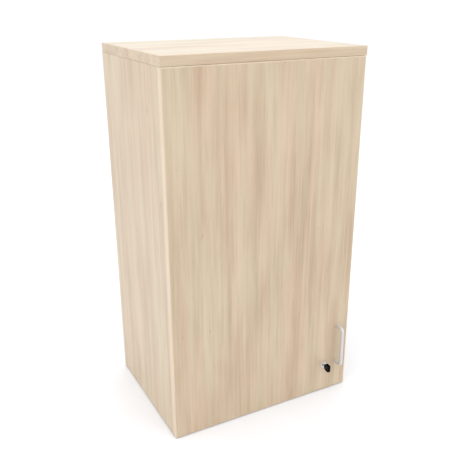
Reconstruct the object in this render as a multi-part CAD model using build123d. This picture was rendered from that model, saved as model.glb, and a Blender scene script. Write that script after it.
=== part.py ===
from build123d import *
import os
from math import atan2, cos, degrees, radians, sin, tan

# Free-standing book drop box: a melamine-faced cabinet with one full-overlay door on the
# staff side, a flapped book slot in the back panel, a chute behind it and a lift-out bin.
# Millimetres. The origin is on the floor, halfway across the box and halfway from the front of
# its handle to the face of its slot frame. The door faces -Y, the book slot +Y, and +Z is up.

# Cabinet
CABINET_WIDTH = 600.0
CARCASS_DEPTH = 420.7
PANEL = 18.0
TOP_PANEL = 25.0
BAND = 3.0
EDGE_ROUND = 2.0
TOP_ROUND = 1.5
SMALL_ROUND = 0.5
TOP_SETBACK = 1.5
GLIDE_HEIGHT = 3.0

# Door and its gaps
DOOR_WIDTH = 597.0
DOOR_HEIGHT = 1039.5
DOOR_GAP_TOP = 0.5
DOOR_GAP_BACK = 0.8

# Hinges: a cup let into the door, a link, and an arm on a mounting plate
CUP_RADIUS = 17.5
CUP_DEPTH = 11.5
CUP_WALL = 1.5
CUP_FLOOR = 1.0
CUP_RIM = 0.4
CUP_FLANGE = 1.0
CUP_TO_DOOR_EDGE = 21.0
HINGE_HEIGHTS = (100.0, 521.0, 942.0)
SYSTEM_LINE = 37.0
SYSTEM_PITCH = 32.0
RUN_CLEARANCE = 0.05

# Pull handle and cam lock
HANDLE_SPACING = 128.0
HANDLE_HEIGHT = 94.0
HANDLE_TO_DOOR_EDGE = 37.5
HANDLE_PROJECTION = 32.0
HANDLE_BAR_RADIUS = 5.0
HANDLE_BEND = 11.0
LOCK_HEIGHT = 94.0
LOCK_TO_DOOR_EDGE = 84.0
CAM_LENGTH = 58.0

# Book slot, flap and chute
SLOT_WIDTH = 400.0
SLOT_BOTTOM = 825.0
SLOT_TOP = 925.0
BEZEL_LIP = 22.0
BEZEL_THICKNESS = 2.5
COLLAR_WALL = 2.0
SHEET = 3.0
CHUTE_SLOPE = radians(38)
CHUTE_LENGTH = 185.0

# Book bin
BIN_WIDTH = 500.0
BIN_FRONT = -163.0
BIN_BACK = 205.0
BIN_TOP = 584.0
BIN_BOARD = 12.0
MAT = 4.0

# Worked out from the sizes above
HALF_WIDTH = CABINET_WIDTH / 2
TOTAL_DEPTH = CARCASS_DEPTH + DOOR_GAP_BACK + PANEL
DOOR_FRONT = HANDLE_PROJECTION - (HANDLE_PROJECTION + TOTAL_DEPTH + BEZEL_THICKNESS) / 2
DOOR_BACK = DOOR_FRONT + PANEL
CARCASS_FRONT = DOOR_BACK + DOOR_GAP_BACK
CARCASS_BACK = CARCASS_FRONT + CARCASS_DEPTH
BACK_INNER = CARCASS_BACK - PANEL
SIDE_INNER = HALF_WIDTH - PANEL
BASE = GLIDE_HEIGHT
BASE_INNER = BASE + PANEL
DOOR_LEFT = -HALF_WIDTH
DOOR_RIGHT = DOOR_LEFT + DOOR_WIDTH
DOOR_TOP = BASE + DOOR_HEIGHT
CARCASS_TOP = DOOR_TOP + DOOR_GAP_TOP
OVERALL_HEIGHT = CARCASS_TOP + TOP_PANEL
TOP_FRONT = DOOR_FRONT + TOP_SETBACK


# ---- Helpers ----

def block(x, y, z):
    """Box given by its (low, high) coordinates on each axis."""
    spans = (x, y, z)
    middle = [(low + high) / 2 for low, high in spans]
    size = [high - low for low, high in spans]
    return Pos(*middle) * Box(*size)


def rod(radius, start, direction, length):
    """Cylinder that starts at a point and runs along a direction."""
    place = Plane(origin=start, z_dir=direction).location
    return place * Cylinder(radius, length, align=(Align.CENTER, Align.CENTER, Align.MIN))


def cone(wide, narrow, start, direction, length):
    """Cone whose wide end is at a point, narrowing along a direction."""
    place = Plane(origin=start, z_dir=direction).location
    return place * Cone(wide, narrow, length, align=(Align.CENTER, Align.CENTER, Align.MIN))


def cross_slot(point, direction, span, depth):
    """Cross recess to cut from a screw head at a point, sunk along a direction."""
    place = Plane(origin=point, z_dir=direction).location
    low_end = (Align.CENTER, Align.CENTER, Align.MIN)
    wings = Box(span, span * 0.22, depth, align=low_end)
    return place * (wings + Rot(0, 0, 90) * wings)


def flush_screw(point, direction, head, shank, length):
    """Countersunk screw with its head face at a point: radii of head and shank, length."""
    taper = head - shank
    body = cone(head, shank, point, direction, taper) + rod(shank, point, direction, length)
    return body - cross_slot(point, direction, head * 1.2, taper * 0.6)


def pan_screw(point, direction, head, rise, shank, length):
    """Screw whose raised head sits on a surface at a point and whose shank runs into it."""
    into = Vector(*direction)
    face = Vector(*point) - into * rise
    body = rod(head, face, into, rise) + rod(shank, point, into, length)
    return body - cross_slot(face, into, head * 1.2, rise * 0.6)


def plate_xy(points, z_low, z_high):
    """Prism with an outline in plan, between two heights."""
    outline = make_face(Polyline(*[(x, y, z_low) for x, y in points], close=True))
    return extrude(outline, amount=z_high - z_low, dir=(0, 0, 1))


def plate_yz(points, x_low, x_high):
    """Prism with an outline seen from the side, between two X positions."""
    outline = make_face(Polyline(*[(x_low, y, z) for y, z in points], close=True))
    return extrude(outline, amount=x_high - x_low, dir=(1, 0, 0))


def bar_xy(start, end, radius, z_low, z_high):
    """Bar with round ends in plan, between two heights."""
    run = Vector(*end) - Vector(*start)
    place = Pos((start[0] + end[0]) / 2, (start[1] + end[1]) / 2, z_low)
    turn = Rot(0, 0, degrees(atan2(run.Y, run.X)))
    return place * turn * extrude(SlotCenterToCenter(run.length, radius * 2), z_high - z_low)


def group(shapes):
    """One node made of several separate solids."""
    return Compound([solid for shape in shapes for solid in shape.solids()])


def less(body, cutters):
    """A body with every cutter taken out, and without the bits left inside screw recesses."""
    for cutter in cutters:
        body = body - cutter
    return max(body.solids(), key=lambda solid: solid.volume)


# ---- Carcass joinery ----

DOWEL_RADIUS = 4.0
CAM_RADIUS = 7.5
CAM_DEPTH = 12.5
CAM_SETBACK = 34.0
JOINT_Y = (-125.0, 155.0)
DOWEL_Y = (-155.0, 15.0, 185.0)
BACK_BOLT_Z = (150.0, 745.0)
BACK_DOWEL_Z = (240.0, 500.0, 990.0)


def connector(seam, into, cam_dir):
    """Bolt and cam that pull two panels together at a seam point."""
    seam, into = Vector(*seam), Vector(*into)
    bolt = rod(2.5, seam - into * 11, into, 11) + rod(3.4, seam, into, CAM_SETBACK - 8.5)
    depth = Vector(*cam_dir)
    face = seam + into * CAM_SETBACK - depth * (PANEL / 2)
    cam = rod(CAM_RADIUS, face, depth, CAM_DEPTH) - cross_slot(face, depth, 8, 2)
    return bolt, cam


def dowel(seam, into):
    """Wooden dowel, 12 mm in the face panel and 18 mm in the end of the other."""
    into = Vector(*into)
    return rod(DOWEL_RADIUS, Vector(*seam) - into * 12, into, 30)


def joinery():
    """Every connecting bolt, cam and dowel of the carcass."""
    pairs, dowels = [], []
    for side in (-1, 1):
        inner, middle = side * SIDE_INNER, side * (HALF_WIDTH - PANEL / 2)
        for y in JOINT_Y:
            pairs.append(connector((inner, y, BASE + PANEL / 2), (-side, 0, 0), (0, 0, 1)))
            pairs.append(connector((middle, y, CARCASS_TOP), (0, 0, -1), (side, 0, 0)))
        for y in DOWEL_Y:
            dowels.append(dowel((inner, y, BASE + PANEL / 2), (-side, 0, 0)))
            dowels.append(dowel((middle, y, CARCASS_TOP), (0, 0, -1)))
        back_middle = BACK_INNER + PANEL / 2
        for z in BACK_BOLT_Z:
            pairs.append(connector((inner, back_middle, z), (-side, 0, 0), (0, 1, 0)))
        for z in BACK_DOWEL_Z:
            dowels.append(dowel((inner, back_middle, z), (-side, 0, 0)))
    bolts = [bolt for bolt, _ in pairs]
    cams = [cam for _, cam in pairs]
    return bolts, cams, dowels


# ---- Hinges ----

CUP_X = DOOR_LEFT + CUP_TO_DOOR_EDGE
CUP_PIVOT = (CUP_X - 11.5, DOOR_BACK - 4.0)
ARM_PIVOT = (CUP_X + 10.5, DOOR_BACK - 5.5)
LINK_ELBOW = (CUP_X - 4.0, DOOR_BACK - 7.8)
LINK_HALF_HEIGHT = 3.0
LINK_RADIUS = 1.6
LINK_EYE = 2.6
HINGE_PIN = 1.5
ARM_HALF_HEIGHT = 6.5
PLATE_TOP = -SIDE_INNER + 3.5
ARM_OUTER = PLATE_TOP + 11.0
SCREW_LINE = CARCASS_FRONT + SYSTEM_LINE
ARM_SCREW_Y = (SCREW_LINE - 2.0, SCREW_LINE + 20.0)


def hinge_cup_screws(z):
    """Two screws that hold a cup's flange to the door."""
    x = CUP_X + 9.5
    spots = [(x, DOOR_BACK + CUP_FLANGE, z + dz) for dz in (-22.5, 22.5)]
    return [pan_screw(spot, (0, -1, 0), 3.4, 1.2, 1.7, 13) for spot in spots]


def hinge_cup_pin(z):
    """Pin across the cup that the link turns on."""
    return rod(HINGE_PIN, (*CUP_PIVOT, z - 11.6), (0, 0, 1), 23.2)


def hinge_cup(z):
    """Hollow cup with a screw flange on the back of the door."""
    cup = rod(CUP_RADIUS, (CUP_X, DOOR_BACK, z), (0, -1, 0), CUP_DEPTH)
    ring = rod(CUP_RADIUS + 1.5, (CUP_X, DOOR_BACK, z), (0, 1, 0), CUP_RIM)
    wing_y = (DOOR_BACK, DOOR_BACK + CUP_FLANGE)
    wings = block((CUP_X + 1, CUP_X + 17), wing_y, (z - 29, z + 29))
    wings = fillet(wings.edges().filter_by(Axis.Y), 5)
    mouth = (CUP_X, DOOR_BACK + 2, z)
    hollow = rod(CUP_RADIUS - CUP_WALL, mouth, (0, -1, 0), CUP_DEPTH + 2 - CUP_FLOOR)
    return less(cup + ring + wings, [hollow, hinge_cup_pin(z), *hinge_cup_screws(z)])


def hinge_link(z):
    """Goose-neck link between the arm's pivot and the cup's pivot."""
    low, high = z - LINK_HALF_HEIGHT, z + LINK_HALF_HEIGHT
    body = bar_xy(CUP_PIVOT, LINK_ELBOW, LINK_RADIUS, low, high)
    body += bar_xy(LINK_ELBOW, ARM_PIVOT, LINK_RADIUS, low, high)
    for pivot in (CUP_PIVOT, ARM_PIVOT):
        body += rod(LINK_EYE, (*pivot, low), (0, 0, 1), high - low)
    bore = HINGE_PIN + RUN_CLEARANCE
    return less(body, [rod(bore, (*p, low - 1), (0, 0, 1), 10) for p in (CUP_PIVOT, ARM_PIVOT)])


def hinge_arm_pin(z):
    """Pin through the fork of the arm."""
    return rod(HINGE_PIN, (*ARM_PIVOT, z - ARM_HALF_HEIGHT), (0, 0, 1), 2 * ARM_HALF_HEIGHT)


def hinge_arm_screws(z):
    """Clamping and adjusting screws of the arm."""
    return [pan_screw((ARM_OUTER, y, z), (-1, 0, 0), 3.6, 1.6, 2.0, 13) for y in ARM_SCREW_Y]


def hinge_arm(z):
    """Arm over the mounting plate, with a fork that reaches into the cup."""
    x, y = ARM_PIVOT
    tip = 3.2
    outline = [
        (x - tip, y),
        (x - tip, y + 9.5),
        (PLATE_TOP, y + 19),
        (PLATE_TOP, SCREW_LINE + 34),
        (ARM_OUTER, SCREW_LINE + 34),
        (ARM_OUTER, y + 28),
        (x + tip, y + 19),
        (x + tip, y),
    ]
    low, high = z - ARM_HALF_HEIGHT, z + ARM_HALF_HEIGHT
    body = plate_xy(outline, low, high) + rod(tip, (x, y, low), (0, 0, 1), high - low)
    fork_gap = LINK_HALF_HEIGHT + 0.3
    fork = block((x - 10, x + 10), (y - 10, y + 4), (z - fork_gap, z + fork_gap))
    return less(body, [fork, hinge_arm_pin(z), *hinge_arm_screws(z)])


def hinge_plate_screws(z):
    """Two screws on the 32 mm line that hold the mounting plate."""
    half = SYSTEM_PITCH / 2
    spots = [(-SIDE_INNER + 1.5, SCREW_LINE, z + dz) for dz in (-half, half)]
    return [pan_screw(spot, (-1, 0, 0), 3.4, 1.4, 1.9, 13) for spot in spots]


def hinge_plate(z):
    """Winged mounting plate on the inner face of the left side panel."""
    ridge = block((-SIDE_INNER, PLATE_TOP), (SCREW_LINE - 15, SCREW_LINE + 34), (z - 8, z + 8))
    wing_x = (-SIDE_INNER, -SIDE_INNER + 1.5)
    wings = block(wing_x, (SCREW_LINE - 7, SCREW_LINE + 7), (z - 22, z + 22))
    wings = fillet(wings.edges().filter_by(Axis.X), 5)
    return less(ridge + wings, hinge_plate_screws(z) + hinge_arm_screws(z))


# ---- Pull handle and lock on the door ----

HANDLE_X = DOOR_RIGHT - HANDLE_TO_DOOR_EDGE
HANDLE_ENDS = (HANDLE_HEIGHT, HANDLE_HEIGHT + HANDLE_SPACING)
LOCK_X = DOOR_RIGHT - LOCK_TO_DOOR_EDGE
RIM_RADIUS = 9.5
RIM_THICKNESS = 2.0
BARREL_RADIUS = 8.0
PLUG_RADIUS = 6.0
PLUG_FRONT = DOOR_FRONT - RIM_THICKNESS + 0.2
NUT_THICKNESS = 4.0
BARREL_END = DOOR_BACK + NUT_THICKNESS + 1.0
CAM_THICKNESS = 2.5
CAM_WIDTH = 16.0
SQUARE = 7.0
KEYWAY = (2.2, 8.5)
KEYWAY_DEPTH = 24.0
KEY_HEAD_HALF = 12.0
KEY_NECK = 5.0
KEY_PIVOT_Y = DOOR_FRONT - RIM_THICKNESS - KEY_NECK - KEY_HEAD_HALF
KEY_HEAD_REACH = 13.0
KEY_HEAD_THICKNESS = 7.6
KEY_TONGUE = 4.5
KEY_PIN = 1.2


def handle_screws():
    """Machine screws from inside the door into the handle's feet."""
    spots = [(HANDLE_X, DOOR_BACK, z) for z in HANDLE_ENDS]
    return [pan_screw(spot, (0, -1, 0), 4.0, 2.2, 2.0, PANEL + 9) for spot in spots]


def pull_handle():
    """Bow handle bent from round bar."""
    out = DOOR_FRONT - HANDLE_PROJECTION + HANDLE_BAR_RADIUS
    low, high = HANDLE_ENDS
    corners = [(DOOR_FRONT, low), (out, low), (out, high), (DOOR_FRONT, high)]
    path = FilletPolyline(*[(HANDLE_X, y, z) for y, z in corners], radius=HANDLE_BEND)
    section = Plane(origin=path @ 0, z_dir=path % 0) * Circle(HANDLE_BAR_RADIUS)
    return less(sweep(section, path=path), handle_screws())


def lock_barrel():
    """Cam lock's threaded body with its round rim on the door face."""
    start = (LOCK_X, DOOR_FRONT - RIM_THICKNESS, LOCK_HEIGHT)
    rim = fillet(rod(RIM_RADIUS, start, (0, 1, 0), RIM_THICKNESS).edges().sort_by(Axis.Y)[0], 0.8)
    body = rim + rod(BARREL_RADIUS, start, (0, 1, 0), BARREL_END - start[1])
    bore_start = (LOCK_X, start[1] - 1, LOCK_HEIGHT)
    return body - rod(PLUG_RADIUS + RUN_CLEARANCE, bore_start, (0, 1, 0), 40)


def lock_nut():
    """Hexagon nut that clamps the barrel to the door."""
    place = Plane(origin=(LOCK_X, DOOR_BACK, LOCK_HEIGHT), z_dir=(0, 1, 0))
    nut = extrude(place * RegularPolygon(12.4, 6), amount=NUT_THICKNESS)
    return nut - rod(BARREL_RADIUS, (LOCK_X, DOOR_BACK - 1, LOCK_HEIGHT), (0, 1, 0), 10)


def square_tail(y_low, y_high):
    """Square drive between the plug and the cam."""
    half = SQUARE / 2
    return block(
        (LOCK_X - half, LOCK_X + half), (y_low, y_high), (LOCK_HEIGHT - half, LOCK_HEIGHT + half)
    )


def lock_cam_screw():
    """Screw that holds the cam on the plug."""
    face = (LOCK_X, BARREL_END + CAM_THICKNESS, LOCK_HEIGHT)
    return pan_screw(face, (0, -1, 0), 5.0, 2.2, 1.5, 4.5)


def lock_plug():
    """Turning plug with its keyway and square tail."""
    front = (LOCK_X, PLUG_FRONT, LOCK_HEIGHT)
    plug = rod(PLUG_RADIUS, front, (0, 1, 0), BARREL_END - PLUG_FRONT)
    plug += square_tail(BARREL_END, BARREL_END + CAM_THICKNESS)
    half_width, half_height = KEYWAY[0] / 2, KEYWAY[1] / 2
    keyway = block(
        (LOCK_X - half_width, LOCK_X + half_width),
        (PLUG_FRONT - 1, PLUG_FRONT + KEYWAY_DEPTH),
        (LOCK_HEIGHT - half_height, LOCK_HEIGHT + half_height),
    )
    return less(plug, [keyway, lock_cam_screw()])


def lock_cam():
    """Long cam that hangs down while the lock is open."""
    half = CAM_WIDTH / 2
    y = (BARREL_END, BARREL_END + CAM_THICKNESS)
    tip = LOCK_HEIGHT - CAM_LENGTH
    cam = block((LOCK_X - half, LOCK_X + half), y, (tip, LOCK_HEIGHT))
    cam = fillet(cam.edges().filter_by(Axis.Y).sort_by(Axis.Z)[:2], 4)
    cam += rod(half, (LOCK_X, y[0], LOCK_HEIGHT), (0, 1, 0), CAM_THICKNESS)
    return cam - square_tail(*y)


def key_pin():
    """Rivet that the key's head folds on."""
    half = KEY_HEAD_THICKNESS / 2
    return rod(KEY_PIN, (LOCK_X - half, KEY_PIVOT_Y, LOCK_HEIGHT), (1, 0, 0), 2 * half)


def key_blade():
    """Flat blade with a round tongue for the folding head and four cuts along one edge."""
    half_thick, half_high = KEYWAY[0] / 2 - RUN_CLEARANCE, KEYWAY[1] / 2 - RUN_CLEARANCE
    tip = PLUG_FRONT + KEYWAY_DEPTH - 2
    x = (LOCK_X - half_thick, LOCK_X + half_thick)
    blade = block(x, (KEY_PIVOT_Y, tip), (LOCK_HEIGHT - half_high, LOCK_HEIGHT + half_high))
    blade += rod(KEY_TONGUE, (x[0], KEY_PIVOT_Y, LOCK_HEIGHT), (1, 0, 0), 2 * half_thick)
    cuts = []
    for step, depth in enumerate((1.4, 2.2, 1.0, 1.8)):
        y, edge = tip - 4 - 4 * step, LOCK_HEIGHT - half_high
        notch = [(y - 1.8, edge - 0.5), (y + 1.8, edge - 0.5), (y, edge + depth)]
        cuts.append(plate_yz(notch, x[0] - 1, x[1] + 1))
    return less(blade, [*cuts, key_pin()])


def key_head():
    """Folding plastic head, slotted for the blade's tongue."""
    half = KEY_HEAD_THICKNESS / 2
    x = (LOCK_X - half, LOCK_X + half)
    z = (LOCK_HEIGHT - KEY_HEAD_HALF, LOCK_HEIGHT + KEY_HEAD_HALF)
    head = block(x, (KEY_PIVOT_Y - KEY_HEAD_REACH, KEY_PIVOT_Y), z)
    head = fillet(head.edges().filter_by(Axis.X).sort_by(Axis.Y)[:2], 5)
    head += rod(KEY_HEAD_HALF, (x[0], KEY_PIVOT_Y, LOCK_HEIGHT), (1, 0, 0), 2 * half)
    head = fillet(head.faces().filter_by(Axis.X).edges(), 0.8)
    gap = KEYWAY[0] / 2 + 0.1
    slot_end = KEY_PIVOT_Y - KEY_TONGUE - 0.4
    slot = block((LOCK_X - gap, LOCK_X + gap), (slot_end, DOOR_FRONT), (z[0] - 1, z[1] + 1))
    bore = rod(KEY_PIN + RUN_CLEARANCE, (x[0] - 1, KEY_PIVOT_Y, LOCK_HEIGHT), (1, 0, 0), 12)
    return less(head, [slot, bore])


def strike_screws():
    """Screws of the strike bracket, into the right side panel."""
    spots = [(SIDE_INNER - 2, CARCASS_FRONT + 16, LOCK_HEIGHT + dz) for dz in (-12, 12)]
    return [pan_screw(spot, (1, 0, 0), 3.4, 1.4, 1.9, 15) for spot in spots]


def strike_bracket():
    """Angle bracket that the cam turns behind."""
    z = (LOCK_HEIGHT - 20, LOCK_HEIGHT + 20)
    rear = BARREL_END - 0.7
    leg = block((SIDE_INNER - 22, SIDE_INNER), (rear - 2, rear), z)
    base = block((SIDE_INNER - 2, SIDE_INNER), (rear - 2, CARCASS_FRONT + 26), z)
    return less(leg + base, strike_screws())


def door_bumpers():
    """Clear buffers on the front edge of the right side panel."""
    x = (SIDE_INNER + DOOR_RIGHT) / 2
    length = DOOR_GAP_BACK - 0.1
    return [rod(4, (x, CARCASS_FRONT, z), (0, -1, 0), length) for z in (60.0, 980.0)]


# ---- Book slot and flap ----

FLAP_PIVOT = (CARCASS_BACK - 4.75, SLOT_TOP - 8.5)
FLAP_PIN = 2.5
FLAP_KNUCKLE = 4.2
COLLAR_GAP = 0.3
COLLAR_HALF = SLOT_WIDTH / 2 - COLLAR_GAP
FLAP_HALF = COLLAR_HALF - COLLAR_WALL - 1.2
FLAP_BOTTOM = SLOT_BOTTOM + COLLAR_GAP + COLLAR_WALL + 1.7
FLAP_OUTER = FLAP_PIVOT[0] - 0.8
WINDOW_HALF = SLOT_WIDTH / 2 - 12
WINDOW = (SLOT_BOTTOM + 8, SLOT_TOP - 15)


def slot_frame_screws():
    """Six countersunk screws round the bezel."""
    edge = BEZEL_LIP / 2
    spots = []
    for z in (SLOT_BOTTOM - edge, SLOT_TOP + edge):
        for x in (-SLOT_WIDTH / 2 - edge, 0, SLOT_WIDTH / 2 + edge):
            spots.append((x, CARCASS_BACK + BEZEL_THICKNESS, z))
    return [flush_screw(spot, (0, -1, 0), 3.8, 1.8, 17) for spot in spots]


def flap_pin():
    """Steel rod across the slot that the flap hangs on."""
    return rod(FLAP_PIN, (-COLLAR_HALF, *FLAP_PIVOT), (1, 0, 0), 2 * COLLAR_HALF)


def slot_frame():
    """Bezel on the outside of the back panel, with a collar through it."""
    half = SLOT_WIDTH / 2 + BEZEL_LIP
    outer = (CARCASS_BACK, CARCASS_BACK + BEZEL_THICKNESS)
    bezel = block((-half, half), outer, (SLOT_BOTTOM - BEZEL_LIP, SLOT_TOP + BEZEL_LIP))
    bezel = fillet(bezel.edges().filter_by(Axis.Y), 8)
    window = block((-WINDOW_HALF, WINDOW_HALF), (outer[0] - 1, outer[1] + 1), WINDOW)
    window = fillet(window.edges().filter_by(Axis.Y), 5)
    low, high = SLOT_BOTTOM + COLLAR_GAP, SLOT_TOP - COLLAR_GAP
    collar = block((-COLLAR_HALF, COLLAR_HALF), (BACK_INNER, CARCASS_BACK), (low, high))
    inner = COLLAR_HALF - COLLAR_WALL
    hollow_z = (low + COLLAR_WALL, high - COLLAR_WALL)
    hollow = block((-inner, inner), (BACK_INNER - 1, CARCASS_BACK), hollow_z)
    return less((bezel - window) + (collar - hollow), [flap_pin(), *slot_frame_screws()])


def slot_flap():
    """Flap that is pushed inward from the public side and falls shut."""
    pivot_y, pivot_z = FLAP_PIVOT
    plate_y = (FLAP_OUTER - SHEET, FLAP_OUTER)
    plate = block((-FLAP_HALF, FLAP_HALF), plate_y, (FLAP_BOTTOM, pivot_z))
    plate = fillet(plate.edges().filter_by(Axis.Y).sort_by(Axis.Z)[:2], 3)
    knuckle = rod(FLAP_KNUCKLE, (-FLAP_HALF, pivot_y, pivot_z), (1, 0, 0), 2 * FLAP_HALF)
    bore_start = (-FLAP_HALF - 1, pivot_y, pivot_z)
    bore = rod(FLAP_PIN + RUN_CLEARANCE, bore_start, (1, 0, 0), 2 * FLAP_HALF + 2)
    return plate + knuckle - bore


def flap_stop_pads():
    """Rubber pads behind the bezel's lower lip that the flap falls against."""
    z = (FLAP_BOTTOM - 1.4, WINDOW[0] - 0.2)
    return [block((x - 12, x + 12), (FLAP_OUTER + 0.3, CARCASS_BACK), z) for x in (-150, 150)]


# ---- Chute ----

CHUTE_HALF = SLOT_WIDTH / 2 + 2
CHUTE_START = (BACK_INNER, SLOT_BOTTOM - 0.5)
CHUTE_END = (
    CHUTE_START[0] - CHUTE_LENGTH * cos(CHUTE_SLOPE),
    CHUTE_START[1] - CHUTE_LENGTH * sin(CHUTE_SLOPE),
)


def chute_screws():
    """Screws through the chute's flanges into the back panel."""
    spots = [(x, 785.0) for x in (-150, 0, 150)]
    spots += [(side * (CHUTE_HALF + 14), z) for side in (-1, 1) for z in (780.0, 850.0, 925.0)]
    face = BACK_INNER - SHEET
    return [pan_screw((x, face, z), (0, 1, 0), 3.6, 1.8, 1.9, 16) for x, z in spots]


def chute_floor():
    """Sloping sheet that carries books from the slot towards the bin."""
    back_y, start_z = CHUTE_START
    flange_y = back_y - SHEET
    drop = SHEET / cos(CHUTE_SLOPE)
    under_flange = start_z - drop - SHEET * tan(CHUTE_SLOPE)
    end_under = (CHUTE_END[0] + SHEET * sin(CHUTE_SLOPE), CHUTE_END[1] - SHEET * cos(CHUTE_SLOPE))
    outline = [
        (back_y, start_z),
        CHUTE_END,
        end_under,
        (flange_y, under_flange),
        (flange_y, 770.0),
        (back_y, 770.0),
    ]
    return less(plate_yz(outline, -CHUTE_HALF, CHUTE_HALF), chute_screws())


def chute_cheek(side):
    """Side guide of the chute with its screw flange."""
    outline = [
        (BACK_INNER, 765.0),
        (BACK_INNER, 940.0),
        (BACK_INNER - 30, 940.0),
        (CHUTE_END[0], CHUTE_END[1] + 62),
        (CHUTE_END[0], CHUTE_END[1] - 6),
    ]
    inner, outer = CHUTE_HALF, CHUTE_HALF + SHEET
    cheek = plate_yz(outline, inner, outer)
    cheek += block((inner, inner + 24), (BACK_INNER - SHEET, BACK_INNER), (765.0, 940.0))
    if side < 0:
        cheek = mirror(cheek, about=Plane.YZ)
    return less(cheek, chute_screws())


# ---- Book bin ----

BIN_HALF = BIN_WIDTH / 2
BIN_BASE = BASE_INNER + 3.0
HAND_HOLE = (120.0, 36.0)
HAND_HOLE_DROP = 48.0
BIN_MIDDLE_Y = (BIN_FRONT + BIN_BACK) / 2
GUIDE_GAP = 2.0


def bin_screws():
    """Screws through the bin's front, back and side boards."""
    screws = []
    middle = BIN_BOARD / 2
    for z in (80.0, 310.0, 545.0):
        for x in (-BIN_HALF + middle, BIN_HALF - middle):
            screws.append(flush_screw((x, BIN_FRONT, z), (0, 1, 0), 3.4, 1.6, 35))
            screws.append(flush_screw((x, BIN_BACK, z), (0, -1, 0), 3.4, 1.6, 35))
    for y in (-75.0, 115.0):
        for side in (-1, 1):
            spot = (side * BIN_HALF, y, BIN_BASE + middle)
            screws.append(flush_screw(spot, (-side, 0, 0), 3.4, 1.6, 35))
    return screws


def bin_end(y_low):
    """Front or back board of the bin, with a hand hole."""
    board = block((-BIN_HALF, BIN_HALF), (y_low, y_low + BIN_BOARD), (BIN_BASE, BIN_TOP))
    place = Plane(origin=(0, y_low - 1, BIN_TOP - HAND_HOLE_DROP), x_dir=(1, 0, 0), z_dir=(0, 1, 0))
    hole = extrude(place * SlotOverall(*HAND_HOLE), amount=BIN_BOARD + 2)
    return less(board, [hole, *bin_screws()])


def bin_side(side):
    """Side board of the bin, with a hand hole."""
    x = sorted((side * BIN_HALF, side * (BIN_HALF - BIN_BOARD)))
    board = block(x, (BIN_FRONT + BIN_BOARD, BIN_BACK - BIN_BOARD), (BIN_BASE, BIN_TOP))
    place = Plane(
        origin=(x[0] - 1, BIN_MIDDLE_Y, BIN_TOP - HAND_HOLE_DROP), x_dir=(0, 1, 0), z_dir=(1, 0, 0)
    )
    hole = extrude(place * SlotOverall(*HAND_HOLE), amount=BIN_BOARD + 2)
    return less(board, [hole, *bin_screws()])


def bin_bottom():
    """Bottom board between the bin's four walls."""
    half = BIN_HALF - BIN_BOARD
    y = (BIN_FRONT + BIN_BOARD, BIN_BACK - BIN_BOARD)
    return less(block((-half, half), y, (BIN_BASE, BIN_BASE + BIN_BOARD)), bin_screws())


def bin_mat():
    """Ribbed rubber mat that softens the books' fall."""
    half = BIN_HALF - BIN_BOARD - 1
    y = (BIN_FRONT + BIN_BOARD + 1, BIN_BACK - BIN_BOARD - 1)
    z = (BIN_BASE + BIN_BOARD, BIN_BASE + BIN_BOARD + MAT)
    mat = block((-half, half), y, z)
    ribs = 22
    pitch = 2 * half / ribs
    groove_y, groove_z = (y[0] + 4, y[1] - 4), (z[1] - 1, z[1] + 1)
    grooves = []
    for i in range(ribs - 1):
        x = (-half + pitch * (i + 0.75), -half + pitch * (i + 1))
        grooves.append(block(x, groove_y, groove_z))
    return less(mat, grooves)


def bin_glides():
    """Plastic discs under the bin."""
    spots = [(x, y) for x in (-210, 210) for y in (BIN_FRONT + 38, BIN_BACK - 38)]
    return [rod(13, (x, y, BASE_INNER), (0, 0, 1), 3) for x, y in spots]


def bin_guide_screws():
    """Screws of the two guide battens."""
    x = BIN_HALF + GUIDE_GAP + PANEL / 2
    spots = [(side * x, y, BASE_INNER + PANEL) for side in (-1, 1) for y in (-95.0, 35.0, 165.0)]
    return [flush_screw(spot, (0, 0, -1), 3.4, 1.7, 32) for spot in spots]


def bin_guides():
    """Wooden battens on the cabinet's floor that keep the bin in line."""
    low = BIN_HALF + GUIDE_GAP
    z = (BASE_INNER, BASE_INNER + PANEL)
    battens = []
    for side in (-1, 1):
        x = sorted((side * low, side * (low + PANEL)))
        battens.append(less(block(x, (-135.0, 195.0), z), bin_guide_screws()))
    return battens


# ---- Floor glides ----

GLIDE_SPOTS = [(x, y) for x in (-255.0, 255.0) for y in (CARCASS_FRONT + 17, BACK_INNER - 19)]


def glide_screws():
    """Screws that hold the floor glides."""
    return [flush_screw((x, y, 0.8), (0, 0, 1), 3.2, 1.5, 13) for x, y in GLIDE_SPOTS]


def floor_glides():
    """Plastic discs that the cabinet stands on, with sunk screw holes."""
    discs = []
    for x, y in GLIDE_SPOTS:
        well = rod(3.2, (x, y, -1), (0, 0, 1), 1.8)
        discs.append(less(rod(15, (x, y, 0), (0, 0, 1), GLIDE_HEIGHT), [well, *glide_screws()]))
    return discs


# ---- Panels ----

def side_slab(side):
    """Outline of a side panel with its band, softened along the top and the front."""
    x = sorted((side * SIDE_INNER, side * HALF_WIDTH))
    slab = block(x, (CARCASS_FRONT, CARCASS_BACK), (BASE, CARCASS_TOP))
    outer = slab.faces().sort_by(Axis.X)[0 if side < 0 else -1].edges()
    slab = fillet(outer.sort_by(Axis.Z)[-1], EDGE_ROUND)
    outer = slab.faces().sort_by(Axis.X)[0 if side < 0 else -1].edges()
    return fillet(outer.sort_by(Axis.Y)[0], SMALL_ROUND)


def band_zone():
    """Space that the front bands of the carcass take up."""
    y = (CARCASS_FRONT, CARCASS_FRONT + BAND)
    return block((-HALF_WIDTH, HALF_WIDTH), y, (BASE, CARCASS_TOP))


def side_panel(side, cutters):
    """Side panel behind its front edge band."""
    return less(side_slab(side), [band_zone(), *cutters])


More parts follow.
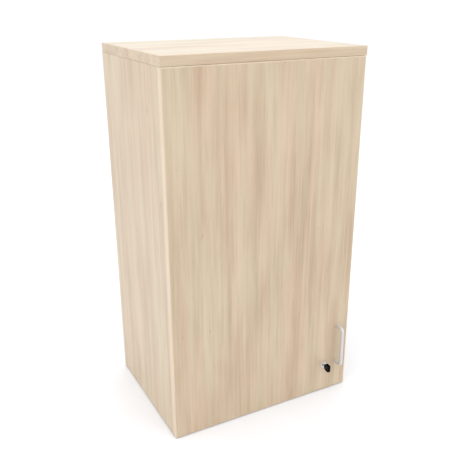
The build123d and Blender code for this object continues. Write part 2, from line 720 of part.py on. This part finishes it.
def bottom_panel(cutters):
    """Floor of the cabinet, in front of the back panel."""
    y = (CARCASS_FRONT + BAND, BACK_INNER)
    return less(block((-SIDE_INNER, SIDE_INNER), y, (BASE, BASE_INNER)), cutters)


def back_panel(cutters):
    """Back panel between the sides, with the slot through it."""
    panel = block((-SIDE_INNER, SIDE_INNER), (BACK_INNER, CARCASS_BACK), (BASE, CARCASS_TOP))
    half = SLOT_WIDTH / 2
    slot = block((-half, half), (BACK_INNER - 1, CARCASS_BACK + 1), (SLOT_BOTTOM, SLOT_TOP))
    return less(panel, [slot, *cutters])


def carcass_edge_bands():
    """Front edge bands of the sides and the bottom."""
    y = (CARCASS_FRONT, CARCASS_FRONT + BAND)
    bands = [block((-SIDE_INNER, SIDE_INNER), y, (BASE, BASE_INNER))]
    return bands + [side_slab(side) & band_zone() for side in (-1, 1)]


def top_slab():
    """Outline of the top with its bands, softened more above than below."""
    x = (-HALF_WIDTH, HALF_WIDTH)
    slab = block(x, (TOP_FRONT, CARCASS_BACK), (CARCASS_TOP, OVERALL_HEIGHT))
    slab = fillet(slab.faces().sort_by(Axis.Z)[-1].edges(), TOP_ROUND)
    return fillet(slab.faces().sort_by(Axis.Z)[0].edges(), SMALL_ROUND)


def top_core():
    """Space inside the bands of the top."""
    half = HALF_WIDTH - BAND
    y = (TOP_FRONT + BAND, CARCASS_BACK - BAND)
    return block((-half, half), y, (CARCASS_TOP, OVERALL_HEIGHT))


def top_edge_bands():
    """Bands on the four edges of the top."""
    slab, z = top_slab(), (CARCASS_TOP, OVERALL_HEIGHT)
    inner_y = (TOP_FRONT + BAND, CARCASS_BACK - BAND)
    zones = [
        block((-HALF_WIDTH, HALF_WIDTH), (TOP_FRONT, TOP_FRONT + BAND), z),
        block((-HALF_WIDTH, HALF_WIDTH), (CARCASS_BACK - BAND, CARCASS_BACK), z),
        block((-HALF_WIDTH, -HALF_WIDTH + BAND), inner_y, z),
        block((HALF_WIDTH - BAND, HALF_WIDTH), inner_y, z),
    ]
    return [slab & zone for zone in zones]


def door_slab():
    """Outline of the door with its bands, softened more in front than behind."""
    slab = block((DOOR_LEFT, DOOR_RIGHT), (DOOR_FRONT, DOOR_BACK), (BASE, DOOR_TOP))
    slab = fillet(slab.faces().sort_by(Axis.Y)[0].edges(), EDGE_ROUND)
    return fillet(slab.faces().sort_by(Axis.Y)[-1].edges(), SMALL_ROUND)


def door_edge_bands():
    """Bands on the four edges of the door."""
    slab, y = door_slab(), (DOOR_FRONT, DOOR_BACK)
    upright = (BASE + BAND, DOOR_TOP - BAND)
    zones = [
        block((DOOR_LEFT, DOOR_RIGHT), y, (BASE, BASE + BAND)),
        block((DOOR_LEFT, DOOR_RIGHT), y, (DOOR_TOP - BAND, DOOR_TOP)),
        block((DOOR_LEFT, DOOR_LEFT + BAND), y, upright),
        block((DOOR_RIGHT - BAND, DOOR_RIGHT), y, upright),
    ]
    return [slab & zone for zone in zones]


def door_panel():
    """Door board inside its edge bands, bored for cups, lock and handle."""
    x = (DOOR_LEFT + BAND, DOOR_RIGHT - BAND)
    board = block(x, (DOOR_FRONT, DOOR_BACK), (BASE + BAND, DOOR_TOP - BAND))
    cuts = [rod(BARREL_RADIUS, (LOCK_X, DOOR_FRONT - 1, LOCK_HEIGHT), (0, 1, 0), PANEL + 2)]
    cuts += handle_screws()
    for z in HINGE_HEIGHTS:
        cuts.append(rod(CUP_RADIUS, (CUP_X, DOOR_BACK, z), (0, -1, 0), CUP_DEPTH))
        cuts += hinge_cup_screws(z)
    return less(board, cuts)


# ---- Assembly ----

def all_nodes():
    """Every named piece of the box."""
    bolts, cams, dowels = joinery()
    fittings = bolts + cams + dowels
    plate_screws = [screw for z in HINGE_HEIGHTS for screw in hinge_plate_screws(z)]
    at_hinges = {
        "hinge_cups": [hinge_cup(z) for z in HINGE_HEIGHTS],
        "hinge_cup_screws": [screw for z in HINGE_HEIGHTS for screw in hinge_cup_screws(z)],
        "hinge_cup_pins": [hinge_cup_pin(z) for z in HINGE_HEIGHTS],
        "hinge_links": [hinge_link(z) for z in HINGE_HEIGHTS],
        "hinge_arms": [hinge_arm(z) for z in HINGE_HEIGHTS],
        "hinge_arm_pins": [hinge_arm_pin(z) for z in HINGE_HEIGHTS],
        "hinge_arm_screws": [screw for z in HINGE_HEIGHTS for screw in hinge_arm_screws(z)],
        "hinge_plates": [hinge_plate(z) for z in HINGE_HEIGHTS],
        "hinge_plate_screws": plate_screws,
    }
    return at_hinges | {
        "side_panel_left": [side_panel(-1, fittings + plate_screws)],
        "side_panel_right": [side_panel(1, fittings + strike_screws())],
        "bottom_panel": [bottom_panel(fittings + glide_screws() + bin_guide_screws())],
        "back_panel": [back_panel(fittings + slot_frame_screws() + chute_screws())],
        "top_panel": [less(top_core(), fittings)],
        "carcass_edge_bands": carcass_edge_bands(),
        "top_edge_bands": top_edge_bands(),
        "connecting_bolts": bolts,
        "connecting_cams": cams,
        "wood_dowels": dowels,
        "floor_glides": floor_glides(),
        "glide_screws": glide_screws(),
        "door_panel": [door_panel()],
        "door_edge_bands": door_edge_bands(),
        "door_bumpers": door_bumpers(),
        "pull_handle": [pull_handle()],
        "handle_screws": handle_screws(),
        "lock_barrel": [lock_barrel()],
        "lock_nut": [lock_nut()],
        "lock_plug": [lock_plug()],
        "lock_cam": [lock_cam()],
        "lock_cam_screw": [lock_cam_screw()],
        "key_blade": [key_blade()],
        "key_head": [key_head()],
        "key_pin": [key_pin()],
        "strike_bracket": [strike_bracket()],
        "strike_screws": strike_screws(),
        "slot_frame": [slot_frame()],
        "slot_frame_screws": slot_frame_screws(),
        "slot_flap": [slot_flap()],
        "flap_pin": [flap_pin()],
        "flap_stop_pads": flap_stop_pads(),
        "chute_floor": [chute_floor()],
        "chute_cheek_left": [chute_cheek(-1)],
        "chute_cheek_right": [chute_cheek(1)],
        "chute_screws": chute_screws(),
        "bin_front": [bin_end(BIN_FRONT)],
        "bin_back": [bin_end(BIN_BACK - BIN_BOARD)],
        "bin_side_left": [bin_side(-1)],
        "bin_side_right": [bin_side(1)],
        "bin_bottom": [bin_bottom()],
        "bin_mat": [bin_mat()],
        "bin_glides": bin_glides(),
        "bin_screws": bin_screws(),
        "bin_guides": bin_guides(),
        "bin_guide_screws": bin_guide_screws(),
    }


os.makedirs("parts", exist_ok=True)
for name, shapes in all_nodes().items():
    export_step(group(shapes), f"parts/{name}.step")
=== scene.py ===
from math import cos, radians, sin

import bpy
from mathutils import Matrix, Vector


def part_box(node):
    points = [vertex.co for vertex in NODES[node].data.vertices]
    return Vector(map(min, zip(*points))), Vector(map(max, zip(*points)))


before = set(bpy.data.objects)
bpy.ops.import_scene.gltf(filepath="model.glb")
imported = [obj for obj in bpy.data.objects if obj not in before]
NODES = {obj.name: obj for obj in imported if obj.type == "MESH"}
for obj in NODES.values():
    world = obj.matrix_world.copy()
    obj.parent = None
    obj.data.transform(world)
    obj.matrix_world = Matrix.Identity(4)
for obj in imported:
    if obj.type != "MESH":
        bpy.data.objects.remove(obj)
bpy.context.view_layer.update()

# Axes
X, Y, Z = 0, 1, 2

# View: where the camera stands from the door's lower left front corner, and how it looks
CAMERA_OFFSET = Vector((-0.5501, -1.3875, 1.2059))
CAMERA_AZIMUTH = radians(-28.378)
CAMERA_ELEVATION = radians(21.427)
CAMERA_LENS = 47.955

# Light
WORLD_STRENGTH = 1.14
FLOOR_SIZE = 60.0
LIGHT_AIM = (0, 0, 0.6)

# Soft square lights: name, place, size in metres, watts and colour
LIGHTS = (
    ("key_top", (-0.3, -0.9, 3.4), 2.0, 20, (1, 1, 1)),
    ("glow_behind", (2.2, 4.2, 2.4), 3.0, 12, (0.7, 0.88, 1.0)),
    ("fill_left", (-3.4, -0.6, 2.7), 2.0, 18, (0.93, 0.97, 1.0)),
)

# Printed and real wood as 8-bit sRGB tones, each from dark to pale
LAMINATE_TONES = ((180, 156, 129), (194, 173, 147), (202, 183, 157), (209, 191, 167))
CHIPBOARD = ((150, 121, 88), (186, 158, 122), (208, 184, 150))
BIRCH = ((206, 172, 126), (222, 192, 148), (234, 208, 168))
BEECH = ((190, 150, 112), (208, 170, 130), (222, 188, 150))

# Single tones as 8-bit sRGB
FLECK_TONE = (148, 120, 96)
PORE_TONE = (150, 124, 100)
# Pale tone mixed into edge bands as a painted highlight, standing in for light caught on their rounded
# edges
BAND_HIGHLIGHT_TONE = (232, 214, 190)
PLY_PALE = (214, 186, 142)
PLY_DARK = (176, 140, 98)
PLY_GLUE = (96, 66, 42)

# Thickness of two plies, in metres
PLY_PAIR = 0.0028

# Rounding of sharp edges, in metres, each named after one kind of piece that has it
PIN_ROUND = 0.0001
SCREW_ROUND = 0.00012
BOARD_ROUND = 0.00012
SAWN_ROUND = 0.00015
LOCK_ROUND = 0.0002
HINGE_ROUND = 0.00025
THIN_ROUND = 0.0003
BAND_ROUND = 0.0004
FRAME_ROUND = 0.0005
SHEET_ROUND = 0.0006
BATTEN_ROUND = 0.001
PLY_ROUND = 0.0012

# Meshing: points this close are one, and edges sharper than this are rounded
WELD_DISTANCE = 1e-6
SHARP_ANGLE = radians(38)
FACING_LIMIT = 0.7  # part of a face's normal along an axis that counts as facing it


# ---- Shader building ----

def rgb(red, green, blue):
    """Linear colour of an 8-bit sRGB one, with alpha."""
    def linear(level):
        value = level / 255
        return value / 12.92 if value <= 0.04045 else ((value + 0.055) / 1.055) ** 2.4
    return (linear(red), linear(green), linear(blue), 1.0)


class Shader:
    """A material with one Principled shader, and short ways to feed it."""

    def __init__(self, name, **constants):
        self.material = bpy.data.materials.new(name)
        self.material.use_nodes = True
        self.tree = self.material.node_tree
        self.surface = self.tree.nodes["Principled BSDF"]
        for socket, value in constants.items():
            self.surface.inputs[socket.replace("_", " ")].default_value = value
        coordinates = self.tree.nodes.new("ShaderNodeTexCoord")
        self.place = coordinates.outputs["Object"]
        self.normal = coordinates.outputs["Normal"]

    def feed(self, socket, value):
        """Links an output to an input, or sets the input to a number or colour."""
        if isinstance(value, bpy.types.NodeSocket):
            self.tree.links.new(value, socket)
        else:
            socket.default_value = value

    def stretch(self, scale, seed=0.0):
        """Object coordinates scaled per axis and shifted by a seed."""
        node = self.tree.nodes.new("ShaderNodeMapping")
        self.feed(node.inputs["Vector"], self.place)
        node.inputs["Scale"].default_value = scale
        node.inputs["Location"].default_value = (seed, seed * 1.7, seed * 2.3)
        return node.outputs[0]

    def noise(self, scale, stretch=(1, 1, 1), seed=0.0, detail=3.0, rough=0.55, warp=0.0):
        """Noise in object space, about 0.5 on average."""
        node = self.tree.nodes.new("ShaderNodeTexNoise")
        self.feed(node.inputs["Vector"], self.stretch(stretch, seed))
        settings = {"Scale": scale, "Detail": detail, "Roughness": rough, "Distortion": warp}
        for socket, value in settings.items():
            node.inputs[socket].default_value = value
        return node.outputs["Fac"]

    def cells(self, scale):
        """Colour of Voronoi cells in object space."""
        node = self.tree.nodes.new("ShaderNodeTexVoronoi")
        self.feed(node.inputs["Vector"], self.stretch((1, 1, 1)))
        node.inputs["Scale"].default_value = scale
        return node.outputs["Color"]

    def maths(self, operation, first, second=0.0):
        """One Math node."""
        node = self.tree.nodes.new("ShaderNodeMath")
        node.operation = operation
        self.feed(node.inputs[0], first)
        self.feed(node.inputs[1], second)
        return node.outputs[0]

    def weigh(self, *parts):
        """0.5 plus each noise's swing about 0.5 times its weight."""
        total = 0.5
        for value, weight in parts:
            swing = self.maths("MULTIPLY", self.maths("SUBTRACT", value, 0.5), weight)
            total = self.maths("ADD", swing, total)
        return total

    def ramp(self, value, stops):
        """Colour ramp through (position, colour) stops."""
        node = self.tree.nodes.new("ShaderNodeValToRGB")
        self.feed(node.inputs[0], value)
        elements = node.color_ramp.elements
        while len(elements) < len(stops):
            elements.new(0.5)
        for element, (position, colour) in zip(elements, stops):
            element.position = position
            element.color = colour
        return node.outputs[0]

    def span(self, value, low, high, to_low=0.0, to_high=1.0):
        """Maps a value's range to another, clamped."""
        node = self.tree.nodes.new("ShaderNodeMapRange")
        for socket, number in zip(node.inputs, (value, low, high, to_low, to_high)):
            self.feed(socket, number)
        return node.outputs[0]

    def mix(self, factor, first, second, mode="MIX"):
        """Mixes two colours."""
        node = self.tree.nodes.new("ShaderNodeMix")
        node.data_type = "RGBA"
        node.blend_type = mode
        for socket, value in ((0, factor), (6, first), (7, second)):
            self.feed(node.inputs[socket], value)
        return node.outputs[2]

    def facing(self, axis):
        """1 on faces whose own normal lies along an axis (0, 1, 2), else 0."""
        split = self.tree.nodes.new("ShaderNodeSeparateXYZ")
        self.feed(split.inputs[0], self.normal)
        return self.maths("GREATER_THAN", self.maths("ABSOLUTE", split.outputs[axis]), FACING_LIMIT)

    def along(self, axis):
        """Object coordinate on one axis, in metres."""
        split = self.tree.nodes.new("ShaderNodeSeparateXYZ")
        self.feed(split.inputs[0], self.place)
        return split.outputs[axis]

    def finish(self, colour=None, roughness=None, height=None, strength=0.2, depth=0.0004):
        """Links colour, roughness and bump height to the surface."""
        if colour is not None:
            self.feed(self.surface.inputs["Base Color"], colour)
        if roughness is not None:
            self.feed(self.surface.inputs["Roughness"], roughness)
        if height is not None:
            bump = self.tree.nodes.new("ShaderNodeBump")
            bump.inputs["Strength"].default_value = strength
            bump.inputs["Distance"].default_value = depth
            self.feed(bump.inputs["Height"], height)
            self.feed(self.surface.inputs["Normal"], bump.outputs[0])
        return self.material


def grain_stretch(axis, ratio):
    """Scale per axis that draws noise out along the grain."""
    return tuple(ratio if i == axis else 1.0 for i in range(3))


def tone_stops(places, tones):
    """Colour ramp stops that put each tone at its place."""
    return [(place, rgb(*tone)) for place, tone in zip(places, tones)]


def scaled(colour, factor, lift=0.0):
    """A colour with its channels scaled and lifted, and an alpha of 1."""
    return tuple(min(1.0, channel * factor + lift) for channel in colour[:3]) + (1.0,)


# ---- Materials ----

def chipboard(shader):
    """Colour and height of a raw chipboard edge."""
    chips = shader.cells(420)
    grey = shader.noise(260, seed=4, detail=5)
    tone = shader.ramp(grey, tone_stops((0.3, 0.5, 0.72), CHIPBOARD))
    return shader.mix(0.12, tone, chips), grey


def wood_print(shader, grain, seed):
    """Printed acacia pattern: its colour, its height and its fine lines."""
    clouds = shader.noise(16, grain_stretch(grain, 0.26), seed + 20, detail=2)
    bands = shader.noise(26, grain_stretch(grain, 0.055), seed, detail=2, warp=0.1)
    streaks = shader.noise(90, grain_stretch(grain, 0.028), seed + 3, detail=3, warp=0.1)
    lines = shader.noise(240, grain_stretch(grain, 0.025), seed + 5, detail=4, rough=0.6)
    value = shader.weigh((clouds, 0.48), (bands, 0.7), (streaks, 0.55), (lines, 0.42))
    colour = shader.ramp(value, tone_stops((0.2, 0.42, 0.58, 0.8), LAMINATE_TONES))
    hue = shader.noise(20, grain_stretch(grain, 0.08), seed + 8, detail=2)
    tint = shader.ramp(hue, ((0.36, (1.0, 0.965, 0.95, 1)), (0.64, (0.965, 0.99, 0.965, 1))))
    colour = shader.mix(1.0, colour, tint, "MULTIPLY")
    fleck = shader.noise(46, grain_stretch(grain, 0.35), seed + 11, detail=2, warp=0.5)
    fleck = shader.span(fleck, 0.72, 0.82)
    colour = shader.mix(shader.maths("MULTIPLY", fleck, 0.5), colour, rgb(*FLECK_TONE))
    pores = shader.noise(1500, grain_stretch(grain, 0.03), seed + 13, detail=1)
    pores = shader.span(pores, 0.6, 0.72)
    colour = shader.mix(shader.maths("MULTIPLY", pores, 0.14), colour, rgb(*PORE_TONE))
    height = shader.weigh((lines, 0.6), (pores, -0.5))
    return colour, height, lines


def laminate(name, grain, seed, raw_axes=()):
    """Melamine face with printed grain, and chipboard on faces along the raw axes."""
    shader = Shader(name, Specular_IOR_Level=0.5)
    colour, height, lines = wood_print(shader, grain, seed)
    roughness = shader.span(lines, 0.3, 0.7, 0.3, 0.42)
    if raw_axes:
        core, core_height = chipboard(shader)
        raw = shader.facing(raw_axes[0])
        for axis in raw_axes[1:]:
            raw = shader.maths("MAXIMUM", raw, shader.facing(axis))
        colour = shader.mix(raw, colour, core)
        roughness = shader.maths("MAXIMUM", roughness, shader.maths("MULTIPLY", raw, 0.9))
        chips = shader.maths("MULTIPLY", shader.maths("MULTIPLY", raw, core_height), 4)
        height = shader.maths("ADD", height, chips)
    return shader.finish(colour, roughness, height, 0.12, 0.0003)


def edge_band(name, grain, seed, pale):
    """Plastic edge band with a print of the same wood, mixed by a share with a pale tone that is a painted
    highlight for light caught on its rounded edges.
    """
    shader = Shader(name, Specular_IOR_Level=0.5)
    colour, height, lines = wood_print(shader, grain, seed)
    # Painted highlight: the pale tone lightens the whole band by the share
    colour = shader.mix(pale, colour, rgb(*BAND_HIGHLIGHT_TONE))
    return shader.finish(colour, shader.span(lines, 0.3, 0.7, 0.3, 0.42), height, 0.08, 0.0002)


def metal(name, colour, rough, spread=0.06, brush=None, brush_depth=0.00004, tint=None, metallic=1.0):
    """Metal with cloudy roughness and fine marks, drawn out along a brush axis if there is one."""
    shader = Shader(name, Metallic=metallic)
    cloud = shader.noise(90, seed=2, detail=4)
    along = (1, 1, 1) if brush is None else grain_stretch(brush, 0.02)
    marks = shader.noise(2600, along, 6, detail=3)
    value = shader.weigh((cloud, 1.0 if brush is None else 0.25), (marks, 0.8))
    roughness = shader.span(value, 0.2, 0.8, rough - spread, rough + spread)
    shade = shader.ramp(value, ((0.25, scaled(colour, 0.86)), (0.65, colour)))
    if tint is not None:
        wash = shader.span(shader.noise(45, seed=9, detail=2), 0.4, 0.7, 0.0, 0.35)
        shade = shader.mix(wash, shade, tint)
    return shader.finish(shade, roughness, marks, 0.35, brush_depth)


def moulded(name, colour, rough, grain_scale=1600, depth=0.00008, **constants):
    """Moulded plastic or rubber with spark grain and faint handling marks."""
    shader = Shader(name, **constants)
    grain = shader.noise(grain_scale, seed=3, detail=2)
    smear = shader.noise(30, seed=7, detail=4)
    shade = shader.mix(shader.span(smear, 0.4, 0.75), colour, scaled(colour, 1.35, 0.004))
    wear = shader.weigh((grain, 0.6), (smear, 0.9))
    roughness = shader.span(wear, 0.2, 0.8, rough - 0.07, rough + 0.09)
    return shader.finish(shade, roughness, grain, 0.5, depth)


def powder_coat(name, colour, slide_axis):
    """Powder-coated sheet with orange peel and rubbed streaks along the way books slide."""
    shader = Shader(name, Specular_IOR_Level=0.5)
    peel = shader.noise(750, seed=1, detail=2)
    rub = shader.noise(210, grain_stretch(slide_axis, 0.05), 5, detail=4, rough=0.7)
    rub = shader.span(rub, 0.56, 0.74)
    shade = shader.mix(shader.maths("MULTIPLY", rub, 0.45), colour, scaled(colour, 0.8))
    roughness = shader.span(rub, 0.0, 1.0, 0.5, 0.36)
    return shader.finish(shade, roughness, peel, 0.3, 0.00012)


def ply_layers(shader, axis, face):
    """Colour of a plywood edge whose layers and glue lines are stacked along an axis."""
    depth = shader.maths("MULTIPLY", shader.along(axis), 1 / PLY_PAIR)
    layer = shader.maths("GREATER_THAN", shader.maths("FRACT", depth), 0.5)
    joint = shader.maths("FRACT", shader.maths("MULTIPLY", depth, 2))
    glue = shader.maths("GREATER_THAN", joint, 0.88)
    edge = shader.mix(layer, rgb(*PLY_PALE), rgb(*PLY_DARK))
    edge = shader.mix(shader.maths("MULTIPLY", glue, 0.6), edge, rgb(*PLY_GLUE))
    return shader.mix(0.35, edge, face, "MULTIPLY")


def solid_wood(name, grain, tones, seed, ply_axis=None):
    """Lacquered wood; with a ply axis, its edges show the layers across that axis."""
    shader = Shader(name, Specular_IOR_Level=0.45)
    bands = shader.noise(26, grain_stretch(grain, 0.12), seed, detail=3, warp=0.5)
    lines = shader.noise(420, grain_stretch(grain, 0.025), seed + 2, detail=4, rough=0.6)
    value = shader.weigh((bands, 0.9), (lines, 0.7))
    colour = shader.ramp(value, tone_stops((0.25, 0.5, 0.75), tones))
    if ply_axis is not None:
        edge = ply_layers(shader, ply_axis, colour)
        colour = shader.mix(shader.facing(ply_axis), edge, colour)
    return shader.finish(colour, shader.span(value, 0.2, 0.8, 0.36, 0.5), lines, 0.2, 0.0002)


def pale_floor():
    """Even pale studio floor."""
    shader = Shader("studio_floor", Specular_IOR_Level=0.1)
    speck = shader.noise(3, detail=2)
    tone = shader.ramp(speck, ((0.3, (0.89, 0.9, 0.935, 1)), (0.7, (0.905, 0.92, 0.95, 1))))
    return shader.finish(tone, 0.9)


# ---- Finishes of the CAD nodes ----

def dress(names, material, bevel=0.0, segments=2):
    """Gives CAD nodes a material, welds their points and rounds sharp edges by a bevel in metres."""
    for name in names.split():
        node = NODES[name]
        node.data.materials.clear()
        node.data.materials.append(material)
        weld = node.modifiers.new("weld", "WELD")
        weld.merge_threshold = WELD_DISTANCE
        if bevel:
            modifier = node.modifiers.new("edges", "BEVEL")
            modifier.width = bevel
            modifier.segments = segments
            modifier.limit_method = "ANGLE"
            modifier.angle_limit = SHARP_ANGLE


def dress_cabinet():
    """Boards and edge bands."""
    dress("door_panel", laminate("laminate_door", Z, 1.0), BOARD_ROUND)
    dress("side_panel_left", laminate("laminate_left", Z, 21.0, (Z,)), SAWN_ROUND)
    dress("side_panel_right", laminate("laminate_right", Z, 33.0, (Z,)), SAWN_ROUND)
    dress("back_panel", laminate("laminate_back", Z, 47.0, (Z,)), SAWN_ROUND)
    dress("bottom_panel", laminate("laminate_bottom", X, 58.0, (X,)), SAWN_ROUND)
    dress("top_panel", laminate("laminate_top", X, 64.0), BOARD_ROUND)
    # The last number is the share of painted highlight: some on the door and carcass bands, none on the
    # top's bands
    dress("door_edge_bands", edge_band("band_door", Z, 5.0, 0.4), BAND_ROUND, 3)
    dress("carcass_edge_bands", edge_band("band_carcass", Z, 26.0, 0.35), THIN_ROUND, 3)
    dress("top_edge_bands", edge_band("band_top", X, 71.0, 0.0), BAND_ROUND, 3)
    dress("wood_dowels", solid_wood("beech_dowels", X, BEECH, 2.0), BAND_ROUND)


def dress_hardware():
    """Fittings, hinges, handle and lock."""
    zinc = metal("zinc_plate", rgb(196, 199, 204), 0.34, tint=rgb(206, 200, 176))
    cast = metal("zinc_casting", rgb(168, 170, 174), 0.5, spread=0.08, brush_depth=0.0001)
    pressed = metal("hinge_nickel", rgb(205, 205, 204), 0.24)
    nickel = metal("bright_nickel", rgb(214, 212, 207), 0.16, spread=0.05)
    handle = metal("satin_handle", rgb(214, 213, 213), 0.46, brush=Z, metallic=0.4)
    satin = metal("satin_lock_face", rgb(236, 236, 236), 0.44, spread=0.05, metallic=0.5)
    screws = (
        "connecting_bolts glide_screws hinge_arm_screws hinge_plate_screws hinge_cup_screws handle_screws "
        "strike_screws chute_screws bin_screws bin_guide_screws lock_cam_screw"
    )
    dress(screws, zinc, SCREW_ROUND)
    dress("strike_bracket lock_cam", zinc, THIN_ROUND)
    dress("connecting_cams", cast, THIN_ROUND)
    dress("hinge_arms hinge_plates hinge_links hinge_cups", pressed, HINGE_ROUND)
    dress("hinge_arm_pins hinge_cup_pins", pressed, PIN_ROUND)
    dress("lock_barrel", satin, LOCK_ROUND)
    dress("lock_nut lock_plug", nickel, LOCK_ROUND)
    dress("key_blade key_pin", nickel, PIN_ROUND)
    dress("pull_handle", handle)
    head = moulded("key_plastic", rgb(4, 4, 5), 0.45, Specular_IOR_Level=0.07)
    dress("key_head", head, LOCK_ROUND)
    dress("floor_glides bin_glides", moulded("glide_plastic", rgb(58, 57, 56), 0.5), FRAME_ROUND)
    dress("door_bumpers", moulded("clear_buffer", rgb(222, 224, 222), 0.2, depth=0.00002), SHEET_ROUND, 3)


def dress_slot():
    """Slot frame, flap and chute."""
    brushed = metal("brushed_stainless", rgb(200, 200, 198), 0.3, brush=X, brush_depth=0.00006)
    rod = metal("drawn_rod", rgb(196, 196, 194), 0.22, brush=X)
    coat = powder_coat("grey_powder_coat", rgb(206, 206, 202), Y)
    dress("slot_frame", brushed, FRAME_ROUND, 3)
    dress("slot_flap", brushed, SHEET_ROUND, 3)
    dress("slot_frame_screws", brushed, PIN_ROUND)
    dress("flap_pin", rod, THIN_ROUND)
    dress("flap_stop_pads", moulded("stop_rubber", rgb(30, 30, 30), 0.75), SHEET_ROUND)
    dress("chute_floor chute_cheek_left chute_cheek_right", coat, SHEET_ROUND, 3)


def dress_bin():
    """Plywood bin and its guides."""
    ply_y = solid_wood("birch_ply_ends", Z, BIRCH, 12.0, Y)
    ply_x = solid_wood("birch_ply_sides", Z, BIRCH, 17.0, X)
    ply_z = solid_wood("birch_ply_base", X, BIRCH, 19.0, Z)
    dress("bin_front bin_back", ply_y, PLY_ROUND, 3)
    dress("bin_side_left bin_side_right", ply_x, PLY_ROUND, 3)
    dress("bin_bottom", ply_z, FRAME_ROUND)
    dress("bin_guides", solid_wood("beech_guides", Y, BEECH, 8.0), BATTEN_ROUND, 3)
    dress("bin_mat", moulded("mat_rubber", rgb(36, 37, 38), 0.8, grain_scale=700), THIN_ROUND)


# ---- Studio ----

def area_light(name, place, size, watts, colour):
    """Square soft light at a place, aimed at the same point as the others."""
    data = bpy.data.lights.new(name, "AREA")
    data.size = size
    data.energy = watts
    data.color = colour
    light = bpy.data.objects.new(name, data)
    light.location = place
    light.rotation_euler = (Vector(place) - Vector(LIGHT_AIM)).to_track_quat("Z", "Y").to_euler()
    bpy.context.scene.collection.objects.link(light)


def white_world():
    """Even white surroundings."""
    world = bpy.data.worlds.new("studio_world")
    world.use_nodes = True
    background = world.node_tree.nodes["Background"]
    background.inputs["Color"].default_value = (1, 1, 1, 1)
    background.inputs["Strength"].default_value = WORLD_STRENGTH
    bpy.context.scene.world = world


def studio_floor():
    """Plain floor under the part."""
    mesh = bpy.data.meshes.new("floor")
    half = FLOOR_SIZE / 2
    corners = [(-half, -half, 0), (half, -half, 0), (half, half, 0), (-half, half, 0)]
    mesh.from_pydata(corners, [], [(0, 1, 2, 3)])
    mesh.materials.append(pale_floor())
    floor = bpy.data.objects.new("floor", mesh)
    bpy.context.scene.collection.objects.link(floor)


def studio():
    """White world, pale floor and soft lights."""
    white_world()
    studio_floor()
    for light in LIGHTS:
        area_light(*light)


def camera():
    """Camera that stands off the door's corner and looks down at the part, with no roll."""
    data = bpy.data.cameras.new("camera")
    data.lens = CAMERA_LENS
    view = bpy.data.objects.new("camera", data)
    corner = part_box("door_edge_bands")[0]
    view.location = corner + CAMERA_OFFSET
    level = cos(CAMERA_ELEVATION)
    back = Vector((sin(CAMERA_AZIMUTH) * level, -cos(CAMERA_AZIMUTH) * level, sin(CAMERA_ELEVATION)))
    view.rotation_euler = back.to_track_quat("Z", "Y").to_euler()
    bpy.context.scene.collection.objects.link(view)
    bpy.context.scene.camera = view


camera()
studio()
dress_cabinet()
dress_hardware()
dress_slot()
dress_bin()
bpy.context.scene.view_settings.view_transform = "Standard"
